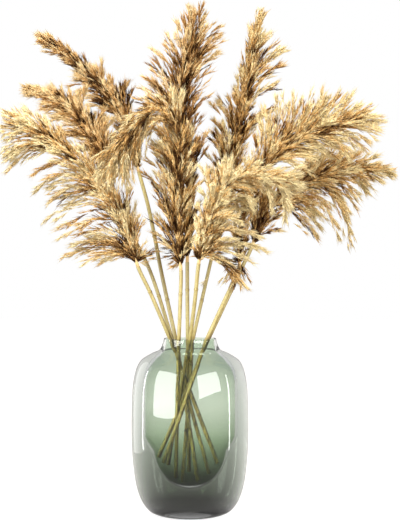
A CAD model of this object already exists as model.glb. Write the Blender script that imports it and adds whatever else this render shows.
"""Dressed model of a thick smoky glass vase holding nine dried pampas reeds."""
import logging
import math
from dataclasses import dataclass, field
from enum import Enum
from typing import Sequence

import bpy
import numpy as np
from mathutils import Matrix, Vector
from numpy.typing import NDArray


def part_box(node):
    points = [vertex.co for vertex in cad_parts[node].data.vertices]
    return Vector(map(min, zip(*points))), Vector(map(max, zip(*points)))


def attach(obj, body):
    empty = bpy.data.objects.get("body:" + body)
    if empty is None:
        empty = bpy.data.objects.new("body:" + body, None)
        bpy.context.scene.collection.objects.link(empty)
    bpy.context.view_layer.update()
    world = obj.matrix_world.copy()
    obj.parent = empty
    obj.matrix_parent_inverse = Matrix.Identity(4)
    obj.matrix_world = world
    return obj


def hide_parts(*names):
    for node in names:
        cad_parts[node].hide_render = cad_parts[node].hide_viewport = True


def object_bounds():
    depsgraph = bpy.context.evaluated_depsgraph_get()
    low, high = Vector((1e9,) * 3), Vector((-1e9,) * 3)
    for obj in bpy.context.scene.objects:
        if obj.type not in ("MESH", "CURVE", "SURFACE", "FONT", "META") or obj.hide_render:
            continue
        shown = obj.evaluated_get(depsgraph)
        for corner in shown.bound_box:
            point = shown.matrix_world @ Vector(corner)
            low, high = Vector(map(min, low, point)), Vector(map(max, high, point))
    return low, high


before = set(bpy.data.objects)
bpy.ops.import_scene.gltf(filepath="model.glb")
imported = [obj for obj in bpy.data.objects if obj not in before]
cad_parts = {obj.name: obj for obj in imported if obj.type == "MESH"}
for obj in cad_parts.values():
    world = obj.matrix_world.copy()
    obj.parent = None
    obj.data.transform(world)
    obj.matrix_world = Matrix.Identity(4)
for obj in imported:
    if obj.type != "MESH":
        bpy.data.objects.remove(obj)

CAD_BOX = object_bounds()
LOG = logging.getLogger("pampas_vase")
MM = 0.001
TURN = 2 * math.pi
GOLDEN_ANGLE = 2.39996
SEED = 100
DEPTH = np.array([0.0, 1.0, 0.0])
UP = np.array([0.0, 0.0, 1.0])
TONE_STOPS = ("Dark", "Brown", "Gold", "Cream")
TONE_RISES = ((0.0, 0.35), (0.25, 0.62), (0.55, 1.0))
TINT_STOPS = ("Foot", "Middle", "Top", "Neck")

Array = NDArray[np.float64]
Span = tuple[float, float]
Point = tuple[float, float, float]
Colour = tuple[float, float, float]
Material = bpy.types.Material
Tree = bpy.types.NodeTree
Socket = bpy.types.NodeSocket
Value = float | Sequence[float] | Socket
Inputs = dict[int | str, Value]


# Numbers on arrays

def unit(vectors: Array) -> Array:
    """Vectors scaled to length one along the last axis."""
    return vectors / np.maximum(np.linalg.norm(vectors, axis=-1, keepdims=True), 1e-12)


def perpendicular(directions: Array, spin: Array) -> Array:
    """Unit vectors square to the directions, turned round them by the spin angles.

    Args:
        directions: Unit vectors, any leading shape.
        spin: Angles in radians, of the same leading shape.

    Returns:
        One vector for each direction: cosine of the spin times a first side, plus sine times a second.
    """
    helper = np.where(np.abs(directions[..., 2:3]) > 0.9, np.array([1.0, 0.0, 0.0]), UP)
    first = unit(np.cross(directions, helper))
    second = np.cross(directions, first)
    return first * np.cos(spin)[..., None] + second * np.sin(spin)[..., None]


def spaced(shares: Array, values: Sequence[float]) -> Array:
    """Numbers at shares from 0 to 1, read between evenly spaced values."""
    return np.interp(shares, np.linspace(0, 1, len(values)), values)


def keyed(shares: Array, keys: Sequence[Span]) -> Array:
    """Numbers at shares, read between keys that each hold a share and its value."""
    return np.interp(shares, *zip(*keys))


@dataclass(frozen=True)
class Path:
    """A smooth curve held as close points and read by share of its length."""

    points: Array

    @classmethod
    def through(cls, keys: Sequence[Sequence[float]], steps: int) -> "Path":
        """Catmull-Rom curve: on each stretch the cubic whose slopes at its two keys are half the step
        between their neighbours.

        Args:
            keys: Points that the curve passes, two or three numbers each.
            steps: Points worked out on each stretch.

        Returns:
            The path through all keys.
        """
        keys = np.array(keys, float)
        padded = np.vstack([2 * keys[0] - keys[1], keys, 2 * keys[-1] - keys[-2]])
        p0, p1, p2, p3 = padded[:-3, None], padded[1:-2, None], padded[2:-1, None], padded[3:, None]
        t = (np.arange(steps) / steps)[None, :, None]
        body = 0.5 * (2 * p1 + (p2 - p0) * t + (2 * p0 - 5 * p1 + 4 * p2 - p3) * t ** 2
                      + (3 * p1 - p0 - 3 * p2 + p3) * t ** 3)
        return cls(np.vstack([body.reshape(-1, keys.shape[1]), keys[-1:]]))

    @property
    def length(self) -> float:
        """Whole length of the curve."""
        return float(np.linalg.norm(np.diff(self.points, axis=0), axis=1).sum())

    def at(self, shares: Array) -> Array:
        """Points on the curve.

        Args:
            shares: Shares of the length, from 0 to 1.

        Returns:
            One point for each share.
        """
        steps = np.linalg.norm(np.diff(self.points, axis=0), axis=1)
        along = np.concatenate([[0.0], np.cumsum(steps)]) / steps.sum()
        return np.stack([np.interp(shares, along, column) for column in self.points.T], -1)

    def nearest(self, points: Array) -> Array:
        """Shares of the length where the curve comes closest to the points, among 81 even ones."""
        grid = np.linspace(0, 1, 81)
        return grid[np.argmin(np.linalg.norm(self.at(grid)[None] - points[:, None], axis=2), axis=1)]

    def direction(self, shares: Array) -> Array:
        """Unit tangents, each from the points a hundredth of the length ahead and behind.

        Args:
            shares: Shares of the length, from 0 to 1.

        Returns:
            One tangent for each share.
        """
        ahead = self.at(np.clip(np.asarray(shares) + 0.01, 0, 1))
        behind = self.at(np.clip(np.asarray(shares) - 0.01, 0, 1))
        return unit(ahead - behind)


# Mesh building

@dataclass
class MeshArrays:
    """Vertex, face and attribute arrays of one piece, gathered part by part."""

    points: list[Array] = field(default_factory=list)
    faces: list[Array] = field(default_factory=list)
    marks: list[Array] = field(default_factory=list)
    count: int = 0

    def add(self, points: Array, faces: Sequence[Array], marks: Array) -> None:
        """Add a part.

        Args:
            points: Positions in millimetres, one row a vertex.
            faces: Index arrays into those rows, one array for each number of corners.
            marks: One or three values a vertex, stored in the attribute that the finishes read.
        """
        self.points.append(points.reshape(-1, 3))
        self.marks.append(np.broadcast_to(marks, self.points[-1].shape))
        self.faces += [part.astype(np.int64) + self.count for part in faces]
        self.count += len(self.points[-1])

    def to_object(self, name: str, material: Material) -> bpy.types.Object:
        """Put the gathered arrays into a smooth-shaded mesh object at the origin.

        Args:
            name: Name of the object.
            material: Its finish.

        Returns:
            The linked object, with the colour attribute "marks".
        """
        points = np.concatenate(self.points) * MM
        marks = np.concatenate(self.marks)
        corners = np.concatenate([part.ravel() for part in self.faces])
        sizes = np.concatenate([np.full(len(part), part.shape[1]) for part in self.faces])
        mesh = bpy.data.meshes.new(name)
        mesh.vertices.add(len(points))
        mesh.vertices.foreach_set("co", points.ravel())
        mesh.loops.add(len(corners))
        mesh.loops.foreach_set("vertex_index", corners)
        mesh.polygons.add(len(sizes))
        mesh.polygons.foreach_set("loop_start", np.concatenate([[0], np.cumsum(sizes)[:-1]]))
        attribute = mesh.color_attributes.new("marks", "FLOAT_COLOR", "POINT")
        attribute.data.foreach_set("color", np.hstack([marks, np.ones((len(marks), 1))]).ravel())
        mesh.update(calc_edges=True)
        mesh.validate()
        mesh.shade_smooth()
        mesh.materials.append(material)
        piece = bpy.data.objects.new(name, mesh)
        bpy.context.scene.collection.objects.link(piece)
        return piece


def ring_faces(count: int, sides: int) -> list[Array]:
    """Faces of a closed stack of rings: quads between the rings and a fan to a pole at each end.

    Args:
        count: Number of rings, whose vertices come first, ring by ring, and then the two poles.
        sides: Points in each ring.

    Returns:
        The quad and triangle index arrays.
    """
    ring = np.arange(sides)
    following = (ring + 1) % sides
    start = np.arange(count - 1)[:, None] * sides
    low, turn = start + ring, start + following
    quads = np.stack([low, turn, turn + sides, low + sides], -1).reshape(-1, 4)
    last, pole = (count - 1) * sides, count * sides
    caps = np.concatenate([np.stack([following, ring, np.full(sides, pole)], -1),
                           np.stack([ring + last, following + last, np.full(sides, pole + 1)], -1)])
    return [quads, caps]


def tube_parts(centres: Array, directions: Array, radii: Array, sides: int) -> tuple[Array, list[Array]]:
    """Closed round tube as a grid of rings: centre plus radius times the cosine of the angle across and
    its sine in depth, with a pole point closing each end.

    Args:
        centres: Ring centres.
        directions: Unit tangents at the rings.
        radii: Ring radii.
        sides: Points in each ring.

    Returns:
        The vertices and the quad and triangle index arrays.
    """
    across = unit(np.cross(directions, DEPTH))[:, None]
    deep = np.cross(across, directions[:, None])
    angle = np.linspace(0, TURN, sides, endpoint=False)[None, :, None]
    rings = centres[:, None] + radii[:, None, None] * (across * np.cos(angle) + deep * np.sin(angle))
    return np.concatenate([rings.reshape(-1, 3), centres[:1], centres[-1:]]), ring_faces(len(centres), sides)


def strand_parts(curves: Array, radii: Array) -> tuple[Array, list[Array]]:
    """Many thin three-sided strands, each ending in a point.

    Args:
        curves: Centre points, strands by points by three.
        radii: Radius at each point but the last, strands by points less one.

    Returns:
        The vertices and the quad and triangle index arrays.
    """
    strands, count, _ = curves.shape
    rings = count - 1
    tangents = unit(np.gradient(curves, axis=1))[:, :rings]
    spin = np.broadcast_to(np.arange(3) * TURN / 3, (strands, rings, 3))
    sides = perpendicular(np.repeat(tangents[:, :, None], 3, 2), spin)
    tube = curves[:, :rings, None] + sides * radii[:, :, None, None]
    points = np.concatenate([tube.reshape(strands, -1, 3), curves[:, -1:]], 1)
    size = rings * 3 + 1
    base = (np.arange(strands) * size)[:, None, None]
    corner = np.arange(3)
    following = (corner + 1) % 3
    start = np.arange(rings - 1)[:, None] * 3
    low, turn = (start + corner).ravel(), (start + following).ravel()
    quads = (np.stack([low, turn, turn + 3, low + 3], -1)[None] + base).reshape(-1, 4)
    last = (rings - 1) * 3
    tips = np.stack([corner + last, following + last, np.full(3, rings * 3)], -1)
    tris = (np.concatenate([tips, [[2, 1, 0]]])[None] + base).reshape(-1, 3)
    return points.reshape(-1, 3), [quads, tris]


def spikelet_parts(roots: Array, directions: Array, lengths: Array, widths: Array,
                   spin: Array) -> tuple[Array, list[Array]]:
    """Many slender closed slivers of four faces each: root, two shoulders and tip. The shoulders stand at
    0.38 of the length, half the width to each side and 0.3 of it to the back.

    Args:
        roots: Root points.
        directions: Unit vectors from root to tip.
        lengths: Root to tip.
        widths: Shoulder to shoulder.
        spin: Turn of each round its own direction.

    Returns:
        The vertices and the triangle index array.
    """
    side = perpendicular(directions, spin)
    back = np.cross(directions, side)
    middle = roots + directions * (0.38 * lengths)[:, None] + back * (0.3 * widths)[:, None]
    half = side * (0.5 * widths)[:, None]
    points = np.stack([roots, middle - half, middle + half, roots + directions * lengths[:, None]], 1)
    pattern = np.array([[0, 1, 2], [3, 2, 1], [0, 3, 1], [0, 2, 3]])
    faces = (pattern[None] + (np.arange(len(roots)) * 4)[:, None, None]).reshape(-1, 3)
    return points.reshape(-1, 3), [faces]


# Shader nodes

@dataclass
class Nodes:
    """A node tree with short ways to add nodes. A Value is a number, a vector, a colour or an output."""

    tree: Tree

    def fill(self, node: bpy.types.Node, inputs: Inputs) -> bpy.types.Node:
        """Give a node its inputs: outputs are linked, and the rest is set as it is.

        Args:
            node: The node.
            inputs: Values by the name or number of their socket.

        Returns:
            The same node.
        """
        for key, value in inputs.items():
            socket = node.inputs[key]
            if isinstance(value, Socket):
                self.tree.links.new(value, socket)
            else:
                socket.default_value = (*value, 1.0) if socket.type == "RGBA" else value
        return node

    def add(self, kind: str, inputs: Inputs | None = None, **settings: object) -> bpy.types.Node:
        """Add a node.

        Args:
            kind: Its type, without the words ShaderNode.
            inputs: Values by the name or number of their socket.
            settings: Its plain properties.

        Returns:
            The node.
        """
        node = self.tree.nodes.new(f"ShaderNode{kind}")
        for key, value in settings.items():
            setattr(node, key, value)
        return self.fill(node, inputs or {})

    def maths(self, operation: str, *values: Value) -> Socket:
        """Output of a maths node on numbers or outputs."""
        return self.add("Math", dict(enumerate(values)), operation=operation).outputs["Value"]

    def ramp(self, value: Value, low: Value, high: Value) -> Socket:
        """Straight rise of a value from 0 at low to 1 at high."""
        return self.add("MapRange", {"Value": value, "From Min": low, "From Max": high}).outputs["Result"]

    def spread(self, value: Value, first: Value, second: Value) -> Socket:
        """A number that goes from the first to the second as a value goes from 0 to 1."""
        return self.add("MapRange", {"Value": value, "To Min": first, "To Max": second}).outputs["Result"]

    def blend(self, factor: Value, first: Value, second: Value) -> Socket:
        """Mix of two colours by a factor."""
        return self.add("Mix", {0: factor, 6: first, 7: second}, data_type="RGBA").outputs[2]


class ColourGroup(Nodes):
    """A shader node group that puts out one colour."""

    def __init__(self, name: str, sockets: dict[str, str]) -> None:
        """Make the group and its sockets.

        Args:
            name: Name of the group.
            sockets: Kind of each input, Float or Color, by its name.
        """
        super().__init__(bpy.data.node_groups.new(name, "ShaderNodeTree"))
        for key, kind in sockets.items():
            self.tree.interface.new_socket(key, in_out="INPUT", socket_type=f"NodeSocket{kind}")
        self.tree.interface.new_socket("Colour", in_out="OUTPUT", socket_type="NodeSocketColor")
        self.inputs = self.tree.nodes.new("NodeGroupInput").outputs

    def finish(self, colour: Socket) -> Tree:
        """Put a colour out and return the group."""
        self.fill(self.tree.nodes.new("NodeGroupOutput"), {"Colour": colour})
        return self.tree


def fibre_tone_group() -> Tree:
    """Group that turns a tone from 0 to 1 into a straw colour: dark, then brown, gold and cream.

    Returns:
        The group, with inputs Tone and four colours and the output Colour.
    """
    group = ColourGroup("fibre_tone", {"Tone": "Float", **dict.fromkeys(TONE_STOPS, "Color")})
    colour = group.inputs[TONE_STOPS[0]]
    for stop, (low, high) in zip(TONE_STOPS[1:], TONE_RISES):
        colour = group.blend(group.ramp(group.inputs["Tone"], low, high), colour, group.inputs[stop])
    return group.finish(colour)


def height_tint_group() -> Tree:
    """Group that tints glass by height: Foot, Middle, Top and Neck, mixed evenly between their heights.

    Returns:
        The group, with inputs Height, four colours and their heights and the output Colour.
    """
    sockets = {"Height": "Float"}
    for name in TINT_STOPS:
        sockets.update({name: "Color", f"{name} Height": "Float"})
    group = ColourGroup("height_tint", sockets)
    source = group.inputs
    colour = source[TINT_STOPS[0]]
    for low, high in zip(TINT_STOPS, TINT_STOPS[1:]):
        share = group.ramp(source["Height"], source[f"{low} Height"], source[f"{high} Height"])
        colour = group.blend(share, colour, source[high])
    return group.finish(colour)


# Finishes

@dataclass(frozen=True)
class Finish:
    """Base of every finish: a Principled material that reads the attribute "marks"."""

    name: str

    def start(self) -> tuple[Material, Nodes, bpy.types.bpy_prop_collection]:
        """Make the material, with nodes that read its marks.

        Returns:
            The material, its nodes and the three marks, which are Red, Green and Blue.
        """
        material = bpy.data.materials.new(self.name)
        material.use_nodes = True
        nodes = Nodes(material.node_tree)
        marks = nodes.add("Attribute", attribute_name="marks")
        return material, nodes, nodes.add("SeparateColor", {"Color": marks.outputs["Color"]}).outputs

    def dress(self, nodes: Nodes, values: Inputs) -> None:
        """Give the material's shader its inputs."""
        nodes.fill(nodes.tree.nodes["Principled BSDF"], values)


@dataclass(frozen=True)
class FibreFinish(Finish):
    """Base of the dried fibres, whose colour follows a tone."""

    dark: Colour
    brown: Colour
    gold: Colour
    cream: Colour

    def colour(self, nodes: Nodes, group: Tree, tone: Socket) -> Socket:
        """Colour of a tone, from the fibre tone group."""
        stops = dict(zip(TONE_STOPS, (self.dark, self.brown, self.gold, self.cream)))
        return nodes.add("Group", {"Tone": tone, **stops}, node_tree=group).outputs["Colour"]


@dataclass(frozen=True)
class PampasFinish(FibreFinish):
    """Dry silky hair: its colour follows the tone that each strand carries."""

    roughness: float = 0.8
    specular: float = 0.12

    def material(self, group: Tree) -> Material:
        """Build the material.

        Args:
            group: The fibre tone group.

        Returns:
            A material that takes the tone from the first mark.
        """
        material, nodes, marks = self.start()
        self.dress(nodes, {"Base Color": self.colour(nodes, group, marks["Red"]), "Roughness": self.roughness,
                           "Specular IOR Level": self.specular})
        return material


@dataclass(frozen=True)
class StalkFinish(FibreFinish):
    """Dry reed stalk: straw colour with long streaks, brown at its nodes."""

    grain: Point = (900.0, 900.0, 35.0)
    grain_detail: float = 3.0
    streaks: float = 1.4
    relief: float = 0.25
    relief_depth: float = 0.0004
    roughness: float = 0.45

    def material(self, group: Tree) -> Material:
        """Build the material.

        Args:
            group: The fibre tone group.

        Returns:
            A material whose tone is the first mark, more or less by a fine noise along the stalk.
        """
        material, nodes, marks = self.start()
        place = nodes.add("TexCoord").outputs["Object"]
        stretched = nodes.add("Mapping", {"Vector": place, "Scale": self.grain}).outputs["Vector"]
        grain = nodes.add("TexNoise", {"Vector": stretched, "Scale": 1.0, "Detail": self.grain_detail})
        noise = grain.outputs["Fac"]
        streaked = nodes.maths("MULTIPLY_ADD", noise, self.streaks, marks["Red"])
        tone = nodes.maths("SUBTRACT", streaked, 0.5 * self.streaks)
        bump = nodes.add("Bump", {"Strength": self.relief, "Distance": self.relief_depth, "Height": noise})
        self.dress(nodes, {"Base Color": self.colour(nodes, group, tone), "Normal": bump.outputs["Normal"],
                           "Roughness": self.roughness})
        return material


class GlassTint(Enum):
    """Tints of the glass: height in metres and colour of each stop, from the foot up."""

    OUTER = ((0.015, (0.003, 0.003, 0.003)), (0.075, (0.085, 0.104, 0.080)), (0.150, (0.205, 0.245, 0.205)),
             (0.215, (0.30, 0.33, 0.30)))
    HOLLOW = ((0.045, (0.06, 0.10, 0.045)), (0.095, (0.35, 0.48, 0.30)), (0.150, (0.71, 0.80, 0.67)),
              (0.225, (0.46, 0.57, 0.43)))

    def colour(self, nodes: Nodes, group: Tree, height: Socket) -> Socket:
        """Place the height tint group with the stops of this tint.

        Args:
            nodes: Nodes of the glass.
            group: The height tint group.
            height: Height above the floor.

        Returns:
            The tint's colour at that height.
        """
        inputs = {"Height": height}
        for stop, (level, colour) in zip(TINT_STOPS, self.value):
            inputs.update({stop: colour, f"{stop} Height": level})
        return nodes.add("Group", inputs, node_tree=group).outputs["Colour"]


@dataclass(frozen=True)
class GlassFinish(Finish):
    """Thick cased glass: smoky grey outside and green on the hollow's wall, both darker lower down.

    The outer tint is the glass's colour over the vase's full width, to the power of the share of that
    width that lies in glass on a level line of sight. With the cosine c of the level angle to the surface
    and the hollow's radius over the outer one h, the share is c - sqrt(h^2 - 1 + c^2), or c past the hollow.
    """

    ior: float = 1.06
    coat_ior: float = 1.55
    coat_roughness: float = 0.01

    def material(self, group: Tree) -> Material:
        """Build the material.

        Args:
            group: The height tint group.

        Returns:
            A clear material. Its marks are 1 on the hollow's wall and 0 outside, the square of h, and the
            outer radius over the widest one.
        """
        material, nodes, marks = self.start()
        place = nodes.add("SeparateXYZ", {"Vector": nodes.add("TexCoord").outputs["Object"]}).outputs
        outer, hollow = (tint.colour(nodes, group, place["Z"]) for tint in GlassTint)
        facing = nodes.add("LayerWeight", {"Blend": 0.5}).outputs["Facing"]
        slope = nodes.add("SeparateXYZ", {"Vector": nodes.add("NewGeometry").outputs["Normal"]}).outputs["Z"]
        level = nodes.maths("SQRT", nodes.maths("SUBTRACT", 1.0, nodes.maths("MULTIPLY", slope, slope)))
        ahead = nodes.maths("SUBTRACT", 1.0, facing)
        cosine = nodes.maths("MINIMUM", nodes.maths("DIVIDE", ahead, level), 1.0)
        square = nodes.maths("ADD", nodes.maths("MULTIPLY", cosine, cosine), marks["Green"])
        chord = nodes.maths("SQRT", nodes.maths("MAXIMUM", nodes.maths("SUBTRACT", square, 1.0), 0.0))
        share = nodes.maths("MULTIPLY", nodes.maths("SUBTRACT", cosine, chord), marks["Blue"])
        seen = nodes.add("Gamma", {"Color": outer, "Gamma": share}).outputs["Color"]
        self.dress(nodes, {"Base Color": nodes.blend(marks["Red"], seen, hollow), "Roughness": 0.0,
                           "Transmission Weight": 1.0, "IOR": self.ior, "Coat IOR": self.coat_ior,
                           "Coat Weight": nodes.maths("SUBTRACT", 1.0, marks["Red"]),
                           "Coat Roughness": self.coat_roughness})
        return material


class Fluff(Enum):
    """Colourings of the dried flower heads."""

    GOLDEN = PampasFinish("pampas_golden", (0.060, 0.024, 0.007), (0.36, 0.175, 0.055), (0.92, 0.57, 0.20),
                          (1.0, 0.85, 0.49))
    UMBER = PampasFinish("pampas_umber", (0.045, 0.018, 0.005), (0.29, 0.135, 0.042), (0.74, 0.43, 0.15),
                         (1.0, 0.79, 0.44))
    CREAM = PampasFinish("pampas_cream", (0.070, 0.030, 0.009), (0.42, 0.220, 0.075), (0.96, 0.62, 0.23),
                         (1.0, 0.87, 0.53))


# The vase

@dataclass
class GlassVase:
    """The glass vase, one turned closed body. Sizes in millimetres."""

    base_keys: Sequence[Span] = ((0.0, 0.0), (20.0, 0.0), (40.0, 0.0))
    outer_keys: Sequence[Span] = (
        (50.0, 2.6), (59.4, 8.8), (69.1, 24.2), (76.0, 49.8), (80.2, 94.0), (80.4, 149.3), (77.9, 185.2),
        (69.8, 210.0), (53.9, 221.7), (42.0, 227.3), (37.4, 237.0))
    lip_keys: Sequence[Span] = ((36.2, 242.0), (35.2, 243.2), (34.2, 242.6))
    hollow_keys: Sequence[Span] = (
        (33.6, 239.0), (34.0, 232.0), (37.0, 222.0), (46.0, 213.5), (56.0, 203.0), (61.0, 189.0),
        (62.2, 172.0), (62.2, 118.0), (61.0, 106.0), (57.0, 97.0), (51.8, 88.5), (48.6, 80.0),
        (45.4, 70.5), (40.0, 59.5), (29.5, 47.5), (16.0, 40.0), (0.0, 37.0))
    sides: int = 144
    steps: int = 5

    def outline(self) -> tuple[Array, Array]:
        """Radius and height from the base's centre over the lip to the hollow's lowest point.

        Returns:
            The outline's points, and 1 for those on the hollow's wall and 0 for the others.
        """
        base = np.array(self.base_keys)
        outer = Path.through([self.base_keys[-1], *self.outer_keys, *self.lip_keys], self.steps).points[1:]
        mirrored = (-self.hollow_keys[-2][0], self.hollow_keys[-2][1])
        inner = Path.through([self.lip_keys[-1], *self.hollow_keys, mirrored], self.steps)
        hollow = inner.points[1:-self.steps]
        hollow[-1, 0] = 0.0
        mask = np.concatenate([np.zeros(len(base) + len(outer)), np.ones(len(hollow))])
        return np.concatenate([base, outer, hollow]), mask

    def build(self, material: Material) -> bpy.types.Object:
        """Turn the outline round the axis: radius times cosine and sine of the angle, and its height.

        Args:
            material: The glass.

        Returns:
            The vase, which replaces its solid.
        """
        outline, mask = self.outline()
        inner = outline[1:-1]
        angle = np.linspace(0, TURN, self.sides, endpoint=False)
        rings = np.stack([inner[:, :1] * np.cos(angle), inner[:, :1] * np.sin(angle),
                          np.broadcast_to(inner[:, 1:], (len(inner), self.sides))], -1)
        points = np.concatenate([rings.reshape(-1, 3), [[0, 0, outline[0, 1]], [0, 0, outline[-1, 1]]]])
        wall = np.array(self.hollow_keys)[::-1]
        hollow = np.interp(inner[:, 1], wall[:, 1], wall[:, 0], left=0.0)
        rows = np.stack([mask[1:-1], (hollow / inner[:, 0]) ** 2, inner[:, 0] / inner[:, 0].max()], -1)
        marks = np.concatenate([np.repeat(rows, self.sides, axis=0), [[0.0, 0.0, 0.0], [1.0, 0.0, 0.0]]])
        arrays = MeshArrays()
        arrays.add(points, ring_faces(len(inner), self.sides), marks)
        vase = arrays.to_object("vase_glass", material)
        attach(vase, "root")
        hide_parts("vase")
        return vase


# Reeds

@dataclass(frozen=True)
class Reed:
    """Places of one reed in millimetres: the keys of its solids, with more lock tips.

    Its stem runs straight from the foot to the rim, then through `via` to the plume's base. The plume's
    axis, half-widths and lock tips follow, then its colouring and the tips of its thin loose locks.
    """

    number: int
    radius: float
    foot: Point
    rim: Point
    via: Sequence[Point]
    axis: Sequence[Point]
    widths: Sequence[float]
    tips: Sequence[Point]
    fluff: Fluff
    tones: Sequence[float]
    wisps: Sequence[Point] = ()

    def curves(self) -> tuple[Path, Path]:
        """Centrelines of the stem and the plume, cut from one smooth curve.

        Returns:
            The stem's path from its foot up, and the plume's path from its base to its tip.
        """
        steps = 8
        rim, aim = np.array(self.rim), np.array(self.foot)
        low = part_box(f"stem_{self.number}")[0]
        slope = (rim - aim) / (rim[2] - aim[2])
        tilt = math.hypot(slope[0], slope[1])
        rise = self.radius * tilt / math.hypot(tilt, 1.0)
        foot = rim + slope * (low[2] / MM + rise - rim[2])
        straight = [foot + (rim - foot) * share for share in (0.0, 0.3, 0.6, 0.9, 1.0)]
        whole = Path.through([*straight, *self.via, *self.axis], steps).points
        cut = len(whole) - 1 - steps * (len(self.axis) - 1)
        return Path(whole[:cut + 1]), Path(whole[cut:])


@dataclass
class Stem:
    """The stalk of a reed: a round tube with low nodes. Lengths in millimetres."""

    reed: Reed
    sides: int = 14
    ring_step: float = 3.0
    taper: float = 0.1
    node_spacing: float = 92.0
    node_offset: float = 20.0
    node_swell: float = 0.16
    node_width: float = 1.5
    node_reach: float = 4.0
    node_rings: int = 13
    groove_offset: float = 2.2
    groove_width: float = 0.5
    groove_depth: float = 0.08
    bleaching: float = 0.44
    bleached_side: float = 0.9
    browned_below: float = 236.0
    browned_over: float = 20.0
    rim_tone: float = 0.66
    node_tone: float = 0.24
    groove_tone: float = 0.35
    fading: float = 0.06

    def build(self, material: Material) -> bpy.types.Object:
        """Carry a circle along the reed's lower path. Its radius falls evenly towards the top and swells
        by a bell curve at each node, with a narrow groove just above it. The tone is dark in the vase, and
        the side that the sun bleached carries a lighter one, by the cosine of the angle from it.

        Args:
            material: The stalk's finish.

        Returns:
            The stem, which replaces its solid.
        """
        path, _ = self.reed.curves()
        length = path.length
        nodes = np.arange(1, int(length / self.node_spacing) + 1) * self.node_spacing - self.node_offset
        fine = (nodes[:, None] + np.linspace(-self.node_reach, self.node_reach, self.node_rings)).ravel()
        along = np.unique(np.concatenate([np.arange(0, length, self.ring_step), fine, [length]]))
        along = along[(along >= 0) & (along <= length)]
        shares = along / length
        swell = np.exp(-((along[:, None] - nodes) / self.node_width) ** 2).sum(1)
        groove = np.exp(-((along[:, None] - nodes - self.groove_offset) / self.groove_width) ** 2).sum(1)
        radii = (self.reed.radius * (1 - self.taper * shares)
                 * (1 + self.node_swell * swell - self.groove_depth * groove))
        centres = path.at(shares)
        above_rim = np.clip((centres[:, 2] - self.browned_below) / self.browned_over, 0, 1)
        tone = (self.rim_tone * above_rim - self.node_tone * swell - self.groove_tone * groove
                - self.fading * shares)
        turn = np.linspace(0, TURN, self.sides, endpoint=False)
        bleached = tone[:, None] + self.bleaching * np.cos(turn + self.bleached_side)
        arrays = MeshArrays()
        arrays.add(*tube_parts(centres, path.direction(shares), radii, self.sides),
                   np.concatenate([bleached.ravel(), tone[:1], tone[-1:]])[:, None])
        stem = arrays.to_object(f"reed_stalk_{self.reed.number}", material)
        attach(stem, "root")
        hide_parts(f"stem_{self.reed.number}")
        return stem


@dataclass(frozen=True)
class Sliver:
    """One kind of fine sliver on the branchlets: its ranges of lean in degrees, length and width."""

    lean: Span
    length: Span
    width: Span


@dataclass(frozen=True)
class Branchlets:
    """Arrays with one row a branchlet."""

    roots: Array
    headings: Array
    lengths: Array
    sags: Array
    tones: Array

    def points(self, rows: Array, share: Array | float) -> Array:
        """Points at a share of some branchlets: straight ahead, and down by the sag times its square."""
        ahead = self.headings[rows] * self.lengths[rows, None] * share
        return self.roots[rows] + ahead - UP * self.sags[rows, None] * share ** 2


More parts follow.
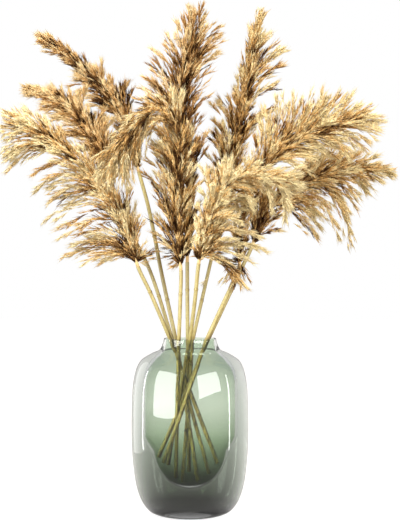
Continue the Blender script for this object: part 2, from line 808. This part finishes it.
@dataclass
class Plume:
    """The dried flower head of a reed: locks on its axis, branchlets on the locks, slivers on those.

    Lengths are in millimetres and angles in degrees. Pairs are ranges, but `between` holds two places
    between neighbouring tips, `slants` run from a lock's root to its tip and `twig_radii` up a branchlet.
    Shapes, and the radii and tones of the core, are keyed by share.
    """

    reed: Reed
    fillers: int = 84
    filler_slip: float = 0.01
    filler_turn: float = 0.3
    filler_reach: Span = (0.5, 0.95)
    between: Span = (0.33, 0.67)
    depth_beside: float = 14.0
    depth_between: float = 8.0
    drawn_in: Span = (0.55, 0.92)
    depth_limit: float = 106.0
    flatness: float = 0.72
    fan_gap: float = 60.0
    root_lag: float = 0.18
    slenderness: float = 0.17
    fullest_lock: float = 12.0
    wisp_radius: float = 1.5
    wave: float = 0.05
    wave_turns: float = 4.5
    lock_shape: Sequence[Span] = ((0.0, 0.7), (0.4, 1.0), (0.75, 0.7), (1.0, 0.2))
    branchlets: int = 1450
    root_room: float = 4.0
    slants: Span = (27.0, 9.0)
    slant_spread: Span = (0.4, 1.3)
    branchlet_lengths: Span = (8.0, 26.0)
    shortening: Span = (0.6, 1.0)
    past_tip: float = 6.0
    sags: Span = (0.02, 0.14)
    twig_radii: Span = (0.34, 0.24)
    tone_rise: float = 1.02
    tone_middle: float = 0.37
    lock_contrast: float = 0.25
    branchlet_contrast: float = 0.17
    sliver_contrast: float = 0.14
    patch_contrast: float = 0.17
    patch_size: float = 46.0
    twig_shade: float = 0.12
    slivers: int = 16
    sliver_slip: float = 0.04
    sliver_rise: float = 0.14
    hair_light: float = 0.08
    hair_share: float = 0.45
    hair: Sliver = Sliver((4.0, 22.0), (9.0, 17.0), (0.6, 1.0))
    spikelet: Sliver = Sliver((3.0, 16.0), (6.0, 11.0), (1.0, 1.8))
    core_sides: int = 8
    core_rings: int = 60
    core_end: float = 0.97
    core_radii: Sequence[Span] = ((0.0, 2.3), (0.3, 1.4), (1.0, 0.4))
    core_tones: Sequence[Span] = ((0.0, 0.85), (0.05, 0.7), (0.12, 0.25))
    overhang: float = 0.4

    def tips(self, path: Path, rng: np.random.Generator) -> Array:
        """Tips of all locks: the listed ones, some between neighbours of those, one beside each in depth, the
        fillers, which go round the axis by the golden angle out to the half-width there, and the wisps.

        Args:
            path: The plume's axis.
            rng: Seeded source of small differences.

        Returns:
            One row a lock.
        """
        listed = np.array(self.reed.tips, float)
        steps = np.diff(listed, axis=0)
        near = np.linalg.norm(steps, axis=1) < self.fan_gap
        between = np.concatenate([listed[:-1][near] + steps[near] * share for share in self.between])
        far, near_by = self.depth_beside, self.depth_between
        beside = listed + DEPTH * rng.uniform(-far, far, (len(listed), 1))
        extra = np.concatenate([between + DEPTH * rng.uniform(-near_by, near_by, (len(between), 1)), beside])
        extra[:, 1] = np.clip(extra[:, 1], -self.depth_limit, self.depth_limit)
        closest = path.at(path.nearest(extra))
        extra = closest + (extra - closest) * rng.uniform(*self.drawn_in, (len(extra), 1))
        rows = np.arange(self.fillers)
        share = (rows + 0.5) / self.fillers + rng.normal(0, self.filler_slip, self.fillers)
        share = np.clip(share, 0.02, 0.99)
        angle = rows * GOLDEN_ANGLE + rng.normal(0, self.filler_turn, self.fillers)
        ahead = path.direction(share)
        across = unit(np.cross(ahead, DEPTH))
        deep = np.cross(across, ahead)
        reach = spaced(share, self.reed.widths) * rng.uniform(*self.filler_reach, self.fillers)
        filler = (path.at(share) + across * (reach * np.cos(angle))[:, None]
                  + deep * (reach * self.flatness * np.sin(angle))[:, None])
        return np.concatenate([listed, extra, filler, np.array(self.reed.wisps).reshape(-1, 3)])

    def locks(self, path: Path, rng: np.random.Generator) -> tuple[Array, Array, Array]:
        """Roots, bends and tips of the locks. Each leaves the axis below its tip and runs along it first.

        Args:
            path: The plume's axis.
            rng: Seeded source of small differences.

        Returns:
            Control points, locks by three by three, the share of the axis at each root, and full radii.
        """
        tips = self.tips(path, rng)
        root_share = np.clip(path.nearest(tips) - self.root_lag, 0.01, 0.95)
        roots = path.at(root_share)
        spans = np.linalg.norm(tips - roots, axis=1)
        bends = roots + path.direction(root_share) * (0.5 * spans)[:, None]
        radii = np.minimum(self.fullest_lock, self.slenderness * spans)
        radii[len(tips) - len(self.reed.wisps):] = self.wisp_radius
        return np.stack([roots, bends, tips], 1), root_share, radii

    def grow(self, path: Path, rng: np.random.Generator) -> Branchlets:
        """Place the branchlets on the locks.

        A lock is the curve through root, bend and tip, weighted by the squares of the shares, with a slow
        wave to one side. Branchlets leave it at a slant that closes towards its tip, as long as the lock is
        wide there. The tone rises along each lock, and two crossing sine waves make lighter and darker
        patches.

        Args:
            path: The plume's axis.
            rng: Seeded source of small differences.

        Returns:
            The branchlets.
        """
        controls, root_share, lock_radii = self.locks(path, rng)
        count, total = len(controls), self.branchlets
        spans = np.linalg.norm(controls[:, 2] - controls[:, 0], axis=1)
        weight = np.cumsum(spans * (lock_radii + self.root_room))
        lock = np.searchsorted(weight, (np.arange(total) + 0.5) / total * weight[-1])
        t = rng.uniform(0.0, 0.99, total)[:, None]
        start, bend, tip = controls[lock, 0], controls[lock, 1], controls[lock, 2]
        roots = (1 - t) ** 2 * start + 2 * t * (1 - t) * bend + t ** 2 * tip
        tangents = unit(2 * (1 - t) * (bend - start) + 2 * t * (tip - bend))
        aside = perpendicular(tangents, rng.uniform(0, TURN, count)[lock])
        phase = rng.uniform(0, TURN, count)[lock, None]
        swing = np.sin(self.wave_turns * t + phase)
        roots = roots + aside * self.wave * spans[lock, None] * t * (1 - t) * 4 * swing
        room = lock_radii[lock] * keyed(t[:, 0], self.lock_shape)
        slant = np.radians(spaced(t[:, 0], self.slants)) * rng.uniform(*self.slant_spread, total)
        lengths = np.clip(room / np.sin(slant + 0.05), *self.branchlet_lengths)
        lengths = lengths * rng.uniform(*self.shortening, total)
        lengths = np.minimum(lengths, (1 - t[:, 0]) * spans[lock] + self.past_tip)
        outward = perpendicular(tangents, rng.uniform(0, TURN, total))
        heading = tangents * np.cos(slant)[:, None] + outward * np.sin(slant)[:, None]
        sag = rng.uniform(*self.sags, total) * lengths
        across, _, up = (TURN / self.patch_size * (roots + lengths[:, None] * heading)).T
        patches = np.sin(across + 0.6 * up) + np.sin(0.5 * across - up + self.reed.number)
        tone = spaced(root_share, self.reed.tones)[lock] + rng.normal(0, self.lock_contrast, count)[lock]
        tone = tone + self.tone_rise * (t[:, 0] - self.tone_middle)
        tone = tone + rng.normal(0, self.branchlet_contrast, total) + self.patch_contrast * patches
        return Branchlets(roots, heading, lengths, sag, tone)

    def add_twigs(self, arrays: MeshArrays, branchlets: Branchlets) -> None:
        """Add a thin strand along each branchlet, a little darker than it.

        Args:
            arrays: Where they are added.
            branchlets: What they follow.
        """
        rows = np.arange(self.branchlets)
        strands = np.stack([branchlets.points(rows, share) for share in (0.0, 0.5, 1.0)], 1)
        points, faces = strand_parts(strands, np.array(self.twig_radii) * np.ones((self.branchlets, 1)))
        tones = np.repeat(branchlets.tones - self.twig_shade, len(points) // self.branchlets)
        arrays.add(points, faces, np.clip(tones, 0, 1)[:, None])

    def add_slivers(self, arrays: MeshArrays, branchlets: Branchlets, rng: np.random.Generator) -> None:
        """Add spikelets and hairs all along the branchlets, at small angles to them.

        Args:
            arrays: Where they are added.
            branchlets: What they grow from.
            rng: Seeded source of small differences.
        """
        owner = np.repeat(np.arange(self.branchlets), self.slivers)
        count = len(owner)
        place = np.tile((np.arange(self.slivers) + 0.5) / self.slivers, self.branchlets)
        place = np.clip(place + rng.normal(0, self.sliver_slip, count), 0.05, 1.0)[:, None]
        is_hair = rng.random(count) < self.hair_share

        def pick(hair: Span, spikelet: Span) -> Array:
            """Numbers from the first range for hairs and from the second for spikelets."""
            return np.where(is_hair, rng.uniform(*hair, count), rng.uniform(*spikelet, count))

        lean = np.radians(pick(self.hair.lean, self.spikelet.lean))
        heading = branchlets.headings[owner]
        beside = perpendicular(heading, rng.uniform(0, TURN, count))
        aim = unit(heading * np.cos(lean)[:, None] + beside * np.sin(lean)[:, None])
        lengths = pick(self.hair.length, self.spikelet.length)
        widths = pick(self.hair.width, self.spikelet.width)
        points, faces = spikelet_parts(branchlets.points(owner, place), aim, lengths, widths,
                                       rng.uniform(0, TURN, count))
        tones = (branchlets.tones[owner] + self.sliver_rise * (place[:, 0] - 0.5) + self.hair_light * is_hair
                 + rng.normal(0, self.sliver_contrast, count))
        arrays.add(points, faces, np.clip(np.repeat(tones, 4), 0, 1)[:, None])

    def add_core(self, arrays: MeshArrays, path: Path) -> None:
        """Add the stalk inside the plume, straw coloured at its base and dark further up.

        Args:
            arrays: Where it is added.
            path: The plume's axis.
        """
        shares = np.linspace(0.0, self.core_end, self.core_rings)
        points, faces = tube_parts(path.at(shares), path.direction(shares), keyed(shares, self.core_radii),
                                   self.core_sides)
        tones = keyed(shares, self.core_tones)
        marks = np.concatenate([np.repeat(tones, self.core_sides), tones[:1], tones[-1:]])
        arrays.add(points, faces, marks[:, None])

    def build(self, material: Material) -> bpy.types.Object:
        """Build the plume. What stands out of the solids' box is drawn in to `overhang` of its excess.

        Args:
            material: The plume's finish.

        Returns:
            The plume, which replaces its solid.
        """
        rng = np.random.default_rng(SEED + self.reed.number)
        _, path = self.reed.curves()
        arrays = MeshArrays()
        branchlets = self.grow(path, rng)
        self.add_twigs(arrays, branchlets)
        self.add_slivers(arrays, branchlets, rng)
        self.add_core(arrays, path)
        low, high = np.array(CAD_BOX) / MM
        for part in arrays.points:
            inside = np.clip(part, low, high)
            part[:] = inside + (part - inside) * self.overhang
        plume = arrays.to_object(f"pampas_plume_{self.reed.number}", material)
        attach(plume, "root")
        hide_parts(f"plume_{self.reed.number}")
        return plume


REEDS = (
    Reed(1, 2.9, (37.3, 1.6, 71.6), (-27.6, -4.2, 242.1), ((-53, -13, 303),),
         ((-71, -21, 342), (-83, -32, 385), (-103, -44, 428), (-134, -56, 469), (-178, -66, 507),
          (-244, -78, 547)),
         (4, 14, 21, 24, 20, 3),
         ((-190, -60, 537), (-214, -70, 551), (-248, -74, 522), (-245, -70, 499), (-243, -66, 482),
          (-240, -62, 472), (-202, -52, 447), (-186, -50, 431), (-194, -44, 407), (-177, -60, 379),
          (-168, -36, 358), (-142, -52, 347), (-116, -34, 350), (-53, -30, 358), (-66, -54, 398),
          (-76, -34, 418), (-82, -36, 441), (-152, -48, 373), (-126, -42, 374), (-50, -20, 351),
          (-48, -18, 338), (-47, -24, 364)),
         Fluff.CREAM, (0.36, 0.44, 0.58, 0.66)),
    Reed(2, 2.7, (24.9, 0.8, 60.7), (-24.9, 4.4, 241.6), ((-54, 6, 332), (-83, 6, 392)),
         ((-107, 6, 451), (-115, 10, 483), (-133, 18, 521), (-162, 28, 559), (-195, 40, 581),
          (-230, 50, 594)),
         (4, 15, 20, 18, 10, 2),
         ((-202, 36, 567), (-190, 26, 548), (-162, 14, 505), (-193, 48, 594), (-149, 30, 587),
          (-180, 20, 522), (-225, 44, 585), (-98, 26, 528), (-124, 32, 558), (-112, 30, 544)),
         Fluff.UMBER, (0.26, 0.40, 0.55)),
    Reed(3, 2.9, (9.6, -9.3, 55.4), (-20.3, 20.1, 240.7), ((-40, 34, 331), (-50, 42, 382), (-60, 46, 429)),
         ((-73, 50, 476), (-89, 60, 537), (-113, 74, 581), (-143, 88, 615), (-179, 102, 650),
          (-220, 115, 680)),
         (4, 15, 17, 14, 8, 2),
         ((-130, 92, 632), (-94, 80, 602), (-85, 70, 588), (-208, 112, 656), (-168, 96, 606),
          (-140, 78, 572), (-216, 108, 667), (-201, 120, 675)),
         Fluff.UMBER, (0.06, 0.22, 0.46)),
    Reed(4, 2.8, (-19.3, -7.1, 60.5), (-15.0, -22.4, 243.2), ((-13, -29, 297),),
         ((-12, -34, 337), (-16, -42, 378), (-17, -50, 425), (-13, -60, 478), (-17, -72, 526),
          (-35, -84, 552), (-63, -96, 534), (-92, -104, 497), (-119, -108, 460)),
         (4, 21, 26, 25, 26, 28, 28, 24, 6),
         ((-48, -46, 384), (-44, -62, 437), (-59, -66, 463), (-63, -74, 500), (-51, -50, 402),
          (12, -62, 450), (-50, -70, 520), (-38, -64, 500), (-54, -64, 483), (-40, -84, 535),
          (-60, -74, 512), (-48, -66, 504), (-57, -84, 527), (-84, -104, 470), (-74, -96, 463),
          (-70, -92, 486), (-80, -100, 453), (-103, -116, 455), (-114, -92, 480), (-52, -92, 570),
          (-48, -80, 500), (-44, -70, 492), (-56, -80, 494), (-20, -70, 572), (12, -66, 506),
          (10, -44, 402)),
         Fluff.CREAM, (0.22, 0.31, 0.37, 0.62, 0.80)),
    Reed(5, 2.9, (-1.4, 24.5, 47.2), (-3.5, 22.1, 240.5), (),
         ((-4, 21, 348), (-3, 20, 400), (-4, 20, 463), (-10, 22, 519), (-13, 26, 564), (-6, 32, 611),
          (6, 38, 664), (16, 45, 710)),
         (6, 14, 16, 18, 25, 28, 25, 4),
         ((-3, 42, 703), (-19, 36, 681), (-28, 36, 661), (-49, 26, 645), (-62, 20, 602), (-70, 40, 598),
          (40, 50, 680), (39, 28, 654), (44, 40, 631), (22, 20, 580), (14, 36, 548), (-32, 16, 354),
          (-24, 18, 343), (-36, 20, 368), (22, 20, 522), (20, 18, 500), (-57, 44, 628)),
         Fluff.UMBER, (0.0, 0.02, 0.24, 0.56)),
    Reed(6, 2.7, (-9.7, -0.4, 55.3), (4.2, 22.8, 240.5), ((20, 42, 310),),
         ((31, 50, 357), (44, 58, 415), (57, 66, 473), (70, 76, 538), (80, 86, 597), (91, 96, 656),
          (104, 105, 716)),
         (4, 14, 21, 22, 18, 10, 1),
         ((88, 104, 682), (76, 76, 619), (46, 92, 582), (34, 68, 570), (117, 92, 677), (138, 108, 655),
          (127, 84, 630), (125, 98, 604), (38, 66, 545), (26, 74, 529), (42, 62, 520), (24, 58, 498),
          (29, 58, 458), (100, 80, 556), (118, 76, 566)),
         Fluff.GOLDEN, (0.08, 0.22, 0.38, 0.44)),
    Reed(7, 2.9, (-36.9, -19.8, 70.8), (23.3, -18.1, 242.9), ((49, -19, 299),),
         ((67, -20, 340), (68, -24, 385), (80, -28, 437), (106, -34, 484), (148, -40, 517),
          (198, -44, 533), (258, -48, 541)),
         (4, 15, 25, 33, 34, 24, 3),
         ((88, -30, 512), (94, -32, 538), (100, -30, 553), (118, -34, 564), (138, -38, 572),
          (160, -42, 578), (178, -36, 577), (186, -30, 568), (202, -34, 575), (218, -36, 573),
          (222, -44, 556), (238, -56, 552), (246, -56, 523), (237, -34, 501), (214, -52, 487),
          (204, -44, 500), (188, -40, 492), (170, -32, 498), (150, -38, 490), (138, -30, 494),
          (160, -50, 484), (196, -28, 488), (212, -50, 490), (160, -70, 466), (172, -40, 560),
          (126, -44, 566), (48, -26, 318), (60, -30, 306), (80, -28, 318), (42, -34, 336)),
         Fluff.GOLDEN, (0.25, 0.48, 0.68, 0.68),
         ((14, -26, 315), (32, -30, 306), (52, -26, 296))),
    Reed(8, 2.9, (-44.1, -4.5, 76.7), (25.4, -11.4, 242.5), ((52, -8, 299), (72, 2, 341)),
         ((86, 10, 370), (100, 16, 410), (133, 26, 446), (183, 36, 469), (238, 46, 481), (291, 55, 475)),
         (4, 17, 27, 28, 20, 2),
         ((258, 48, 497), (220, 44, 505), (266, 40, 463), (250, 56, 445), (232, 38, 427), (222, 30, 394),
          (228, 48, 377), (172, 30, 410), (186, 34, 401), (160, 26, 420), (207, 22, 387), (179, 36, 381),
          (120, 20, 392), (166, 36, 492), (148, 26, 476), (184, 58, 504), (172, 28, 500), (200, 40, 508),
          (218, 48, 510), (78, 2, 438), (96, 8, 446), (72, 0, 408), (112, 14, 462)),
         Fluff.GOLDEN, (0.18, 0.46, 0.66, 0.70),
         ((222, 40, 374), (172, 30, 380), (104, 12, 396), (140, 20, 384), (205, 34, 402))),
    Reed(9, 2.9, (-32.1, 16.6, 59.6), (0.0, -19.4, 243.0), ((7, -37, 297),),
         ((12, -47, 346), (19, -56, 378), (31, -66, 420), (56, -78, 453), (95, -88, 459), (145, -96, 448)),
         (4, 18, 25, 24, 19, 3),
         ((96, -74, 364), (74, -66, 317), (88, -86, 383), (50, -60, 345), (66, -92, 401), (125, -84, 406),
          (139, -98, 469), (70, -70, 430), (84, -78, 418), (56, -60, 410), (48, -72, 478), (16, -70, 470)),
         Fluff.CREAM, (0.58, 0.76, 0.92)),
)


# Floor, light and camera

@dataclass
class Studio:
    """Pale floor, white surroundings, soft lights and the camera. Lengths in metres.

    Floor and surroundings are white to the eye. They are weaker and warmer as lights, and weaker too where
    the glass reflects them.
    """

    image_height: int = 520
    focal_pixels: float = 1338.0
    sensor: float = 36.0
    camera_place: Point = (0.01382, -1.849, 0.351)
    floor_half: float = 6.0
    floor_colour: Colour = (0.25, 0.25, 0.25)
    floor_glow: float = 0.93
    fill: float = 0.5
    gloss: float = 0.3
    fill_colour: Colour = (1.0, 0.80, 0.58)
    key_colour: Colour = (1.0, 0.98, 0.95)
    key_size: float = 1.1

    def floor(self) -> None:
        """Make the flat pale floor, marked as stage."""
        far = self.floor_half
        mesh = bpy.data.meshes.new("floor")
        mesh.from_pydata([(-far, -far, 0), (far, -far, 0), (far, far, 0), (-far, far, 0)], [], [(0, 1, 2, 3)])
        floor = bpy.data.objects.new("floor", mesh)
        bpy.context.scene.collection.objects.link(floor)
        material = bpy.data.materials.new("pale_floor")
        material.use_nodes = True
        nodes = Nodes(material.node_tree)
        nodes.fill(material.node_tree.nodes["Principled BSDF"], {
            "Base Color": self.floor_colour, "Roughness": 0.9, "Specular IOR Level": 0.1,
            "Emission Color": self.warmed(nodes), "Emission Strength": self.dimmed(nodes, self.floor_glow)})
        mesh.materials.append(material)

    def dimmed(self, nodes: Nodes, value: float) -> Socket:
        """Brightness, cut by `fill` as a light and by `gloss` after a reflection on the outside, for which
        the ray hasn't passed through glass.

        Args:
            nodes: Nodes of the floor or the world.
            value: Full brightness.

        Returns:
            The output.
        """
        rays = nodes.add("LightPath").outputs
        outside = nodes.maths("SUBTRACT", rays["Glossy Depth"], rays["Transmission Depth"])
        seen = nodes.spread(outside, value, value * self.gloss)
        return nodes.spread(rays["Is Diffuse Ray"], seen, value * self.fill)

    def warmed(self, nodes: Nodes) -> Socket:
        """White to the eye, and the warm fill colour as a light."""
        as_light = nodes.add("LightPath").outputs["Is Diffuse Ray"]
        return nodes.blend(as_light, (1.0, 1.0, 1.0), self.fill_colour)

    @staticmethod
    def soft_light(name: str, place: Point, turn: Sequence[float], width: float, height: float,
                   radiance: float) -> bpy.types.Object:
        """Rectangular soft light that the camera doesn't see.

        Args:
            name: Name of the light.
            place: Where it stands.
            turn: Its rotation.
            width: Width of its face.
            height: Height of its face.
            radiance: Brightness of its face, where the white world is 1.

        Returns:
            The light.
        """
        light = bpy.data.lights.new(name, "AREA")
        light.shape = "RECTANGLE"
        light.size, light.size_y = width, height
        light.energy = radiance * math.pi * width * height
        lamp = bpy.data.objects.new(name, light)
        lamp.location = place
        lamp.rotation_euler = turn
        lamp.visible_camera = False
        bpy.context.scene.collection.objects.link(lamp)
        return lamp

    def softbox(self, name: str, azimuth: float, distance: float, heights: Span, width: float,
                radiance: float, roll: float = 0.0) -> None:
        """Add an upright soft light that faces the axis and shows only as a reflection.

        Args:
            name: Name of the light.
            azimuth: Degrees round the axis from the camera's side, to the right.
            distance: From the axis.
            heights: Lower and upper edge.
            width: Width.
            radiance: Brightness of its face, where the white world is 1.
            roll: Turn in its own plane, degrees.
        """
        turn = math.radians(azimuth)
        low, high = heights
        place = (distance * math.sin(turn), -distance * math.cos(turn), 0.5 * (low + high))
        upright = (math.pi / 2, math.radians(roll), turn)
        lamp = self.soft_light(name, place, upright, width, high - low, radiance)
        lamp.visible_diffuse = False

    def key_light(self, name: str, place: Point, aim: Point, radiance: float) -> None:
        """Add a square soft light that gives the shape its shading and doesn't show in the glass.

        Args:
            name: Name of the light.
            place: Where it stands.
            aim: Point that it faces.
            radiance: Brightness of its face, where the white world is 1.
        """
        turn = (Vector(aim) - Vector(place)).to_track_quat("-Z", "Y").to_euler()
        lamp = self.soft_light(name, place, turn, self.key_size, self.key_size, radiance)
        lamp.data.color = self.key_colour
        lamp.visible_glossy = False

    def surroundings(self) -> None:
        """Make the white world behind and round the object."""
        world = bpy.data.worlds.new("white_room")
        world.use_nodes = True
        nodes = Nodes(world.node_tree)
        nodes.fill(world.node_tree.nodes["Background"], {"Color": self.warmed(nodes),
                                                         "Strength": self.dimmed(nodes, 1.0)})
        bpy.context.scene.world = world
        bpy.context.scene.view_settings.view_transform = "Standard"

    def camera(self) -> None:
        """Make the level camera in front, a little right of the axis."""
        data = bpy.data.cameras.new("camera")
        data.sensor_width = self.sensor
        data.lens = self.focal_pixels / self.image_height * self.sensor
        camera = bpy.data.objects.new("camera", data)
        camera.location = self.camera_place
        camera.rotation_euler = (math.pi / 2, 0.0, 0.0)
        bpy.context.scene.collection.objects.link(camera)
        bpy.context.scene.camera = camera

    def build(self) -> None:
        """Set up everything that isn't part of the object."""
        self.camera()
        self.floor()
        self.surroundings()
        self.key_light("left_key", (-1.1, -1.5, 1.7), (0.0, 0.0, 0.45), 17.0)
        self.key_light("right_key", (1.5, -1.2, 1.1), (0.1, 0.0, 0.45), 8.0)
        self.key_light("back_key", (0.4, 2.0, 1.5), (0.0, 0.0, 0.5), 4.5)
        self.softbox("left_window", -51.0, 1.3, (0.03, 0.98), 1.1, 9.0)
        self.softbox("right_window", 39.0, 1.3, (0.23, 0.92), 1.1, 9.0, roll=-6.0)
        self.softbox("left_side", -114.0, 0.5, (0.0, 0.5), 0.42, 1.15)
        self.softbox("left_strip", -98.0, 0.5, (0.01, 0.36), 0.022, 14.0)
        self.softbox("right_strip", 77.6, 0.5, (0.01, 0.36), 0.022, 14.0)


def main() -> None:
    """Build the studio, the vase and the reeds, and report each piece."""
    logging.basicConfig(level=logging.INFO, format="%(name)s: %(message)s")
    Studio().build()
    fibre_tone = fibre_tone_group()
    vase = GlassVase().build(GlassFinish("smoky_green_glass").material(height_tint_group()))
    LOG.info("%s: %d faces", vase.name, len(vase.data.polygons))
    stalk = StalkFinish("dry_stalk", (0.030, 0.021, 0.005), (0.19, 0.130, 0.030), (0.40, 0.30, 0.080),
                        (0.53, 0.47, 0.205)).material(fibre_tone)
    fluff = {kind: kind.value.material(fibre_tone) for kind in Fluff}
    for reed in REEDS:
        stem = Stem(reed).build(stalk)
        plume = Plume(reed).build(fluff[reed.fluff])
        LOG.info("%s: %d faces, %s: %d faces", stem.name, len(stem.data.polygons), plume.name,
                 len(plume.data.polygons))


if __name__ == "__main__":
    main()
